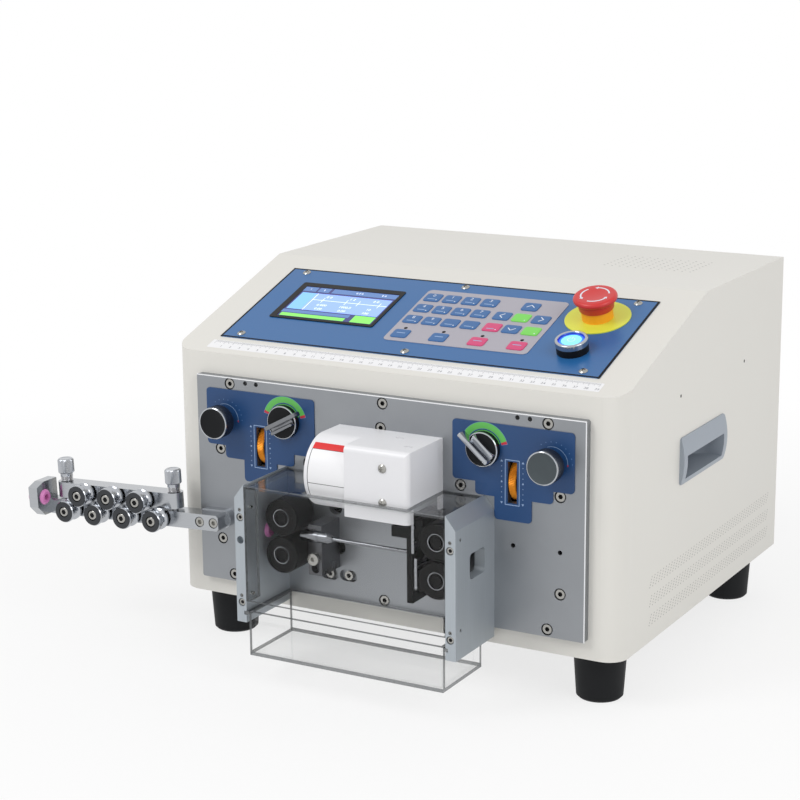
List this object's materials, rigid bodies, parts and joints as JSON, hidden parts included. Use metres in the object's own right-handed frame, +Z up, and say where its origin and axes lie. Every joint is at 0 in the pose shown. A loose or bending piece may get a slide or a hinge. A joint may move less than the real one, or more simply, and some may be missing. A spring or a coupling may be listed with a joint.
{
  "type": "wire cutting stripping machine",
  "caption": "Bench-top wire cutter and stripper: sheet housing with a sloped keypad panel, feed rollers and blades in a clear-covered box, scrap tray and a roller straightener arm.",
  "frame": {"origin": "middle of the footprint at bench level, below the middle of the overall box", "axes": "+X along the wire to the right, +Y from the front to the back, +Z up"},
  "size_m": [0.606, 0.468, 0.3487],
  "materials": {
    "body_paint": "warm off-white powder coat",
    "chassis_steel": "grey powder coat",
    "aluminium": "bead-blasted aluminium",
    "bright_aluminium": "polished aluminium",
    "rubber": "moulded black rubber",
    "grey_plastic": "grey moulded plastic",
    "panel_blue": "blue print with a black border",
    "bright_steel": "bright screw",
    "dark_steel": "blackened steel",
    "keypad_grey": "grey membrane",
    "display_black": "black display frame",
    "legend_yellow": "yellow legend disc",
    "collar_yellow": "orange-yellow collar",
    "stop_red": "glossy red",
    "chrome": "chrome plate",
    "button_blue": "lit blue lens",
    "dial_blue": "dark blue print",
    "acrylic": "clear acrylic",
    "white_plastic": "white moulded plastic",
    "black_plastic": "black plastic",
    "brass": "knurled brass",
    "roller_black": "black finished steel",
    "tool_steel": "ground tool steel",
    "ceramic_pink": "pink glazed ceramic",
    "board_green": "green circuit board"
  },
  "bodies": {
    "machine": {"housing": "body_paint", "chassis": "chassis_steel", "front_plate": "aluminium", "bearing_plate": "aluminium", "rubber_feet": "rubber", "side_handles": "grey_plastic", "control_panel": "panel_blue", "cross_head_screws": "bright_steel", "keypad": "keypad_grey", "display": "display_black", "estop_plate": "legend_yellow", "estop_collar": "collar_yellow", "power_bezel": "chrome", "dial_plates": "dial_blue", "socket_screws": "dark_steel", "left_bracket": "aluminium", "right_bracket": "aluminium", "safety_cover": "acrylic", "blade_guard": "white_plastic", "nozzle_holder": "dark_steel", "guide_nozzle": "chrome", "cutter_rail": "roller_black", "arm_bar": "bright_aluminium", "eyelet_block": "bright_aluminium", "ceramic_eyelets": "ceramic_pink", "stepper_motors": "black_plastic", "power_supply": "aluminium", "control_board": "board_green", "power_inlet": "black_plastic"},
    "scrap_tray": {"scrap_tray": "acrylic"},
    "estop_stem": {"estop_stem": "black_plastic"},
    "estop_head": {"estop_head": "stop_red"},
    "power_button": {"power_button": "button_blue"},
    "front_pressure_knob": {"front_pressure_knob": "black_plastic"},
    "rear_pressure_knob": {"rear_pressure_knob": "black_plastic"},
    "front_lift_lever": {"front_lift_lever": "black_plastic"},
    "rear_lift_lever": {"rear_lift_lever": "black_plastic"},
    "front_gap_wheel": {"front_gap_wheel": "brass"},
    "rear_gap_wheel": {"rear_gap_wheel": "brass"},
    "front_lift_block": {"front_lift_block": "aluminium"},
    "rear_lift_block": {"rear_lift_block": "aluminium"},
    "front_upper_roller": {"front_upper_roller": "roller_black"},
    "front_lower_roller": {"front_lower_roller": "roller_black"},
    "rear_upper_roller": {"rear_upper_roller": "roller_black"},
    "rear_lower_roller": {"rear_lower_roller": "roller_black"},
    "cutter_screw": {"cutter_screw": "bright_steel"},
    "pressure_bar": {"pressure_bar": "bright_aluminium"},
    "left_thumb_screw": {"left_thumb_screw": "chrome"},
    "right_thumb_screw": {"right_thumb_screw": "chrome"},
    "straightener_roller_1": {"straightener_roller_1": "dark_steel"},
    "straightener_roller_2": {"straightener_roller_2": "dark_steel"},
    "straightener_roller_3": {"straightener_roller_3": "dark_steel"},
    "straightener_roller_4": {"straightener_roller_4": "dark_steel"},
    "straightener_roller_5": {"straightener_roller_5": "dark_steel"},
    "straightener_roller_6": {"straightener_roller_6": "dark_steel"},
    "straightener_roller_7": {"straightener_roller_7": "dark_steel"},
    "upper_cutter": {"upper_carriage": "roller_black", "upper_blade": "tool_steel"},
    "lower_cutter": {"lower_carriage": "roller_black", "lower_blade": "tool_steel"}
  },
  "joints": [
    {"name": "tray_slide", "type": "slide", "parent": "machine", "child": "scrap_tray", "axis": [0, -1, 0], "range_m": [0, 0.065]},
    {"name": "estop_push", "type": "slide", "parent": "machine", "child": "estop_stem", "axis": [0, 0.3108, -0.9505], "range_m": [0, 0.004], "stiffness_N_per_m": 1200},
    {"name": "estop_twist", "type": "hinge", "parent": "estop_stem", "child": "estop_head", "pos_m": [0.21977, -0.03956, 0.33899], "axis": [0, -0.3108, 0.9505], "range_deg": [-45, 0]},
    {"name": "power_push", "type": "slide", "parent": "machine", "child": "power_button", "axis": [0, 0.3108, -0.9505], "range_m": [0, 0.002], "stiffness_N_per_m": 600},
    {"name": "front_lift_turn", "type": "hinge", "parent": "machine", "child": "front_lift_lever", "pos_m": [-0.03073, -0.1618, 0.2255], "axis": [0, -1, 0], "range_deg": [0, 120]},
    {"name": "rear_lift_turn", "type": "hinge", "parent": "machine", "child": "rear_lift_lever", "pos_m": [0.17227, -0.1618, 0.2255], "axis": [0, 1, 0], "range_deg": [0, 120]},
    {"name": "front_pressure_turn", "type": "hinge", "parent": "machine", "child": "front_pressure_knob", "pos_m": [-0.09573, -0.1618, 0.2205], "axis": [0, 1, 0], "range_deg": [-135, 135]},
    {"name": "front_gap_turn", "type": "hinge", "parent": "machine", "child": "front_gap_wheel", "pos_m": [-0.05773, -0.144, 0.198], "axis": [1, 0, 0], "range_deg": [-180, 180]},
    {"name": "front_block_lift", "type": "slide", "parent": "machine", "child": "front_lift_block", "axis": [0, 0, 1], "range_m": [0, 0.006]},
    {"name": "front_lower_spin", "type": "hinge", "parent": "machine", "child": "front_lower_roller", "pos_m": [-0.00773, -0.194, 0.115], "axis": [0, 1, 0], "continuous": true},
    {"name": "front_upper_spin", "type": "hinge", "parent": "front_lift_block", "child": "front_upper_roller", "pos_m": [-0.00773, -0.194, 0.1496], "axis": [0, 1, 0], "continuous": true},
    {"name": "rear_pressure_turn", "type": "hinge", "parent": "machine", "child": "rear_pressure_knob", "pos_m": [0.23727, -0.1618, 0.2205], "axis": [0, 1, 0], "range_deg": [-135, 135]},
    {"name": "rear_gap_turn", "type": "hinge", "parent": "machine", "child": "rear_gap_wheel", "pos_m": [0.19927, -0.144, 0.198], "axis": [1, 0, 0], "range_deg": [-180, 180]},
    {"name": "rear_block_lift", "type": "slide", "parent": "machine", "child": "rear_lift_block", "axis": [0, 0, 1], "range_m": [0, 0.006]},
    {"name": "rear_lower_spin", "type": "hinge", "parent": "machine", "child": "rear_lower_roller", "pos_m": [0.14927, -0.194, 0.115], "axis": [0, 1, 0], "continuous": true},
    {"name": "rear_upper_spin", "type": "hinge", "parent": "rear_lift_block", "child": "rear_upper_roller", "pos_m": [0.14927, -0.194, 0.1496], "axis": [0, 1, 0], "continuous": true},
    {"name": "cutter_turn", "type": "hinge", "parent": "machine", "child": "cutter_screw", "pos_m": [0.12477, -0.131, 0.1323], "axis": [0, 0, 1], "range_deg": [0, 504]},
    {"name": "upper_cut", "type": "slide", "parent": "machine", "child": "upper_cutter", "axis": [0, 0, -1], "range_m": [0, 0.007]},
    {"name": "lower_cut", "type": "slide", "parent": "machine", "child": "lower_cutter", "axis": [0, 0, 1], "range_m": [0, 0.007]},
    {"name": "bar_lift", "type": "slide", "parent": "machine", "child": "pressure_bar", "axis": [-0.0454, 0, 0.999], "range_m": [0, 0.004]},
    {"name": "left_thumb_turn", "type": "hinge", "parent": "pressure_bar", "child": "left_thumb_screw", "pos_m": [-0.27233, -0.1772, 0.13443], "axis": [-0.0454, 0, 0.999], "range_deg": [0, 1440]},
    {"name": "right_thumb_turn", "type": "hinge", "parent": "pressure_bar", "child": "right_thumb_screw", "pos_m": [-0.14606, -0.1772, 0.14016], "axis": [-0.0454, 0, 0.999], "range_deg": [0, 1440]},
    {"name": "straightener_roller_1_spin", "type": "hinge", "parent": "machine", "child": "straightener_roller_1", "pos_m": [-0.15708, -0.194, 0.12285], "axis": [0, 1, 0], "continuous": true},
    {"name": "straightener_roller_2_spin", "type": "hinge", "parent": "machine", "child": "straightener_roller_2", "pos_m": [-0.19105, -0.194, 0.1213], "axis": [0, 1, 0], "continuous": true},
    {"name": "straightener_roller_3_spin", "type": "hinge", "parent": "machine", "child": "straightener_roller_3", "pos_m": [-0.22501, -0.194, 0.11976], "axis": [0, 1, 0], "continuous": true},
    {"name": "straightener_roller_4_spin", "type": "hinge", "parent": "machine", "child": "straightener_roller_4", "pos_m": [-0.25898, -0.194, 0.11822], "axis": [0, 1, 0], "continuous": true},
    {"name": "straightener_roller_5_spin", "type": "hinge", "parent": "pressure_bar", "child": "straightener_roller_5", "pos_m": [-0.17483, -0.194, 0.13886], "axis": [0, 1, 0], "continuous": true},
    {"name": "straightener_roller_6_spin", "type": "hinge", "parent": "pressure_bar", "child": "straightener_roller_6", "pos_m": [-0.20879, -0.194, 0.13732], "axis": [0, 1, 0], "continuous": true},
    {"name": "straightener_roller_7_spin", "type": "hinge", "parent": "pressure_bar", "child": "straightener_roller_7", "pos_m": [-0.24276, -0.194, 0.13577], "axis": [0, 1, 0], "continuous": true}
  ],
  "couplings": [
    {"joint": "front_lift_turn", "follows": "front_block_lift", "rad_per_m": 349.06},
    {"joint": "rear_lift_turn", "follows": "rear_block_lift", "rad_per_m": 349.06},
    {"joint": "front_upper_spin", "follows": "front_lower_spin", "ratio": -1},
    {"joint": "rear_lower_spin", "follows": "front_lower_spin", "ratio": 1},
    {"joint": "rear_upper_spin", "follows": "front_lower_spin", "ratio": -1},
    {"joint": "lower_cut", "follows": "upper_cut", "ratio": 1},
    {"joint": "cutter_turn", "follows": "upper_cut", "rad_per_m": 1256.6},
    {"joint": "left_thumb_turn", "follows": "bar_lift", "rad_per_m": 6283.2},
    {"joint": "right_thumb_turn", "follows": "bar_lift", "rad_per_m": 6283.2}
  ]
}
